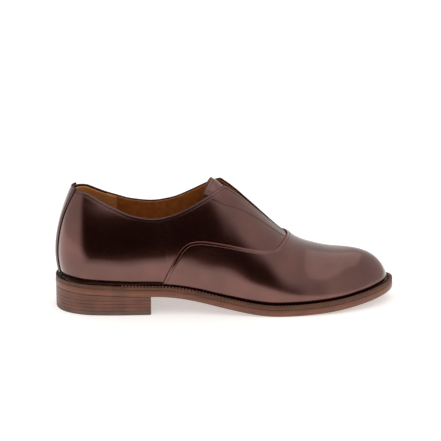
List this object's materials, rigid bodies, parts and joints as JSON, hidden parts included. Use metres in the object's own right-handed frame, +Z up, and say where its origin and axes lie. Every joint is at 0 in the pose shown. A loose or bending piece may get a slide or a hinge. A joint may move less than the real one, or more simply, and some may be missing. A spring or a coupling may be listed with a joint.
{
  "type": "leather oxford shoe",
  "caption": "Laceless leather oxford shoe for the right foot: swan-neck vamp, open facings over an elastic-held tongue, welted sole and stacked leather heel.",
  "frame": {"origin": "centre of the shoe's bounding box at the floor, which is the heel's top-piece face", "axes": "+X from the heel to the toe, +Z up from the floor, -Y towards the outer (lateral) side"},
  "size_m": [0.2662, 0.0872, 0.0998],
  "materials": {
    "oxblood_leather": "gloss",
    "lining_leather": "satin",
    "heel_grip_suede": "matte",
    "elastic": "matte",
    "stiffener_board": "matte",
    "sole_leather": "satin",
    "stacked_leather": "satin",
    "heel_rubber": "matte",
    "cork": "matte",
    "steel": "satin",
    "nail_brass": "satin"
  },
  "bodies": {
    "shoe": {"vamp": "oxblood_leather", "quarter_lateral": "oxblood_leather", "quarter_medial": "oxblood_leather", "back_strip": "oxblood_leather", "vamp_lining": "lining_leather", "quarter_lining_lateral": "lining_leather", "quarter_lining_medial": "lining_leather", "sock_liner": "lining_leather", "heel_lining": "heel_grip_suede", "elastic_gore_lateral": "elastic", "elastic_gore_medial": "elastic", "toe_puff": "stiffener_board", "heel_counter": "stiffener_board", "outsole": "sole_leather", "welt": "sole_leather", "heel_rand": "sole_leather", "insole": "sole_leather", "heel_lift_1": "stacked_leather", "heel_lift_2": "stacked_leather", "heel_lift_3": "stacked_leather", "heel_seat_lift": "stacked_leather", "top_piece": "heel_rubber", "cork_filler": "cork", "shank": "steel", "heel_nail_1": "nail_brass", "heel_nail_2": "nail_brass", "heel_nail_3": "nail_brass", "heel_nail_4": "nail_brass", "heel_nail_5": "nail_brass"},
    "tongue": {"tongue": "oxblood_leather", "tongue_lining": "lining_leather"}
  },
  "joints": [
    {"name": "tongue_press", "type": "hinge", "parent": "shoe", "child": "tongue", "pos_m": [0.0579, 0, 0.0455], "axis": [0, 1, 0], "range_deg": [-8, 0], "stiffness_Nm_per_rad": 0.3, "springref_deg": 5.73}
  ]
}
